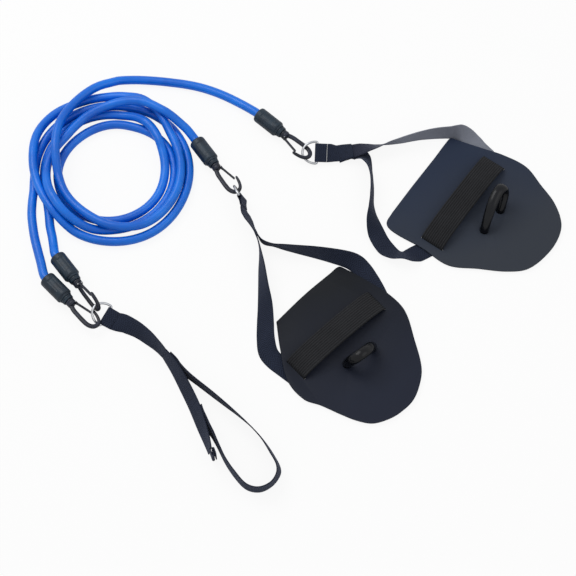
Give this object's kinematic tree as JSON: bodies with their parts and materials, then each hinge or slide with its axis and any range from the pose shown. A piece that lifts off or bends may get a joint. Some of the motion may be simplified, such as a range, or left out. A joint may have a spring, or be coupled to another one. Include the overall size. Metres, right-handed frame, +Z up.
{
  "type": "swim training resistance band",
  "caption": "Resistance band for stroke training on land: coiled rubber tubes with snap hooks, webbing straps to hand paddles and a looped strap for an anchor point.",
  "frame": {"origin": "middle of the base of the laid-out set, measured without the rubber tubes; z = 0 is the surface it lies on", "axes": "+X to the right along the longest side of the layout, +Y away from the viewer, +Z up from the surface"},
  "size_m": [0.7097, 0.5975, 0.0433],
  "materials": {
    "latex": "smooth satin blue",
    "moulding": "fine satin, dark slate",
    "hook": "satin, dark",
    "steel": "bright plated",
    "webbing": "woven, matt",
    "board": "fine matt foam skin",
    "elastic": "ribbed elastic",
    "finger_rubber": "smooth"
  },
  "bodies": {
    "frame": {"anchor_loop": "webbing", "anchor_strap": "webbing", "anchor_tail": "webbing", "anchor_tail_hem": "webbing", "gate_pin_anchor_1": "steel", "gate_pin_anchor_2": "steel", "gate_pin_paddle_1": "steel", "gate_pin_paddle_2": "steel", "hook_collar_anchor_1": "moulding", "hook_collar_anchor_2": "moulding", "hook_collar_paddle_1": "moulding", "hook_collar_paddle_2": "moulding", "hook_frame_anchor_1": "hook", "hook_frame_anchor_2": "hook", "hook_frame_paddle_1": "hook", "hook_frame_paddle_2": "hook", "paddle_1_board": "board", "paddle_1_finger_loop": "finger_rubber", "paddle_1_hand_elastic": "elastic", "paddle_1_loop_stop_a": "finger_rubber", "paddle_1_loop_stop_b": "finger_rubber", "paddle_2_board": "board", "paddle_2_finger_loop": "finger_rubber", "paddle_2_hand_elastic": "elastic", "paddle_2_loop_stop_a": "finger_rubber", "paddle_2_loop_stop_b": "finger_rubber", "strap_1_lead": "webbing", "strap_1_lower": "webbing", "strap_1_upper": "webbing", "strap_2_lead": "webbing", "strap_2_left": "webbing", "strap_2_right": "webbing", "strap_eye_anchor": "webbing", "strap_eye_paddle_1": "webbing", "strap_eye_paddle_2": "webbing", "swivel_stem_anchor_1": "steel", "swivel_stem_anchor_2": "steel", "swivel_stem_paddle_1": "steel", "swivel_stem_paddle_2": "steel", "tube_1_coil": "latex", "tube_1_lead_anchor_2": "latex", "tube_1_lead_paddle_1": "latex", "tube_2_coil": "latex", "tube_2_lead_anchor_1": "latex", "tube_2_lead_paddle_2": "latex"},
    "cap_paddle_1": {"tube_cap_paddle_1": "moulding"},
    "gate_paddle_1": {"hook_gate_paddle_1": "hook"},
    "cap_paddle_2": {"tube_cap_paddle_2": "moulding"},
    "gate_paddle_2": {"hook_gate_paddle_2": "hook"},
    "cap_anchor_1": {"tube_cap_anchor_1": "moulding"},
    "gate_anchor_1": {"hook_gate_anchor_1": "hook"},
    "cap_anchor_2": {"tube_cap_anchor_2": "moulding"},
    "gate_anchor_2": {"hook_gate_anchor_2": "hook"},
    "ring_paddle_1": {"strap_ring_paddle_1": "steel"},
    "ring_paddle_2": {"strap_ring_paddle_2": "steel"},
    "ring_anchor": {"strap_ring_anchor": "steel"}
  },
  "joints": [
    {"name": "swivel_paddle_1", "type": "hinge", "parent": "frame", "child": "cap_paddle_1", "pos_m": [-0.03276, 0.23749, 0.01095], "axis": [0.7454, -0.6665, -0.0157], "continuous": true},
    {"name": "gate_hinge_paddle_1", "type": "hinge", "parent": "frame", "child": "gate_paddle_1", "pos_m": [-0.02658, 0.22563, 0.01161], "axis": [-0.1307, -0.123, -0.9838], "range_deg": [-10, 0], "stiffness_Nm_per_rad": 0.01, "springref_deg": 20.05},
    {"name": "swivel_paddle_2", "type": "hinge", "parent": "frame", "child": "cap_paddle_2", "pos_m": [-0.12281, 0.18759, 0.01305], "axis": [0.5678, -0.8231, 0.0017], "continuous": true},
    {"name": "gate_hinge_paddle_2", "type": "hinge", "parent": "frame", "child": "gate_paddle_2", "pos_m": [-0.11176, 0.18003, 0.01298], "axis": [0.0148, 0.0123, 0.9998], "range_deg": [-10, 0], "stiffness_Nm_per_rad": 0.01, "springref_deg": 20.05},
    {"name": "swivel_anchor_1", "type": "hinge", "parent": "frame", "child": "cap_anchor_1", "pos_m": [-0.29896, 0.01514, 0.01265], "axis": [0.6088, -0.7934, -0.0017], "continuous": true},
    {"name": "gate_hinge_anchor_1", "type": "hinge", "parent": "frame", "child": "gate_anchor_1", "pos_m": [-0.29026, 0.00605, 0.01723], "axis": [-0.76, -0.5838, 0.2857], "range_deg": [-10, 0], "stiffness_Nm_per_rad": 0.01, "springref_deg": 20.05},
    {"name": "swivel_anchor_2", "type": "hinge", "parent": "frame", "child": "cap_anchor_2", "pos_m": [-0.30686, -0.01341, 0.01315], "axis": [0.6959, -0.7181, -0.0017], "continuous": true},
    {"name": "gate_hinge_anchor_2", "type": "hinge", "parent": "frame", "child": "gate_anchor_2", "pos_m": [-0.29476, -0.01909, 0.01235], "axis": [0.1173, 0.1112, 0.9869], "range_deg": [-10, 0], "stiffness_Nm_per_rad": 0.01, "springref_deg": 20.05},
    {"name": "ring_hinge_paddle_1", "type": "hinge", "parent": "frame", "child": "ring_paddle_1", "pos_m": [0.01804, 0.20374, 0.0104], "axis": [0.039, 0.8854, 0.4632], "range_deg": [-1, 1]},
    {"name": "ring_hinge_paddle_2", "type": "hinge", "parent": "frame", "child": "ring_paddle_2", "pos_m": [-0.08246, 0.13114, 0.0158], "axis": [-0.2662, -0.1294, 0.9552], "range_deg": [-1, 4]},
    {"name": "ring_hinge_anchor", "type": "hinge", "parent": "frame", "child": "ring_anchor", "pos_m": [-0.25526, -0.03556, 0.00595], "axis": [0.4853, 0.866, 0.1208], "range_deg": [-1, 1]}
  ]
}
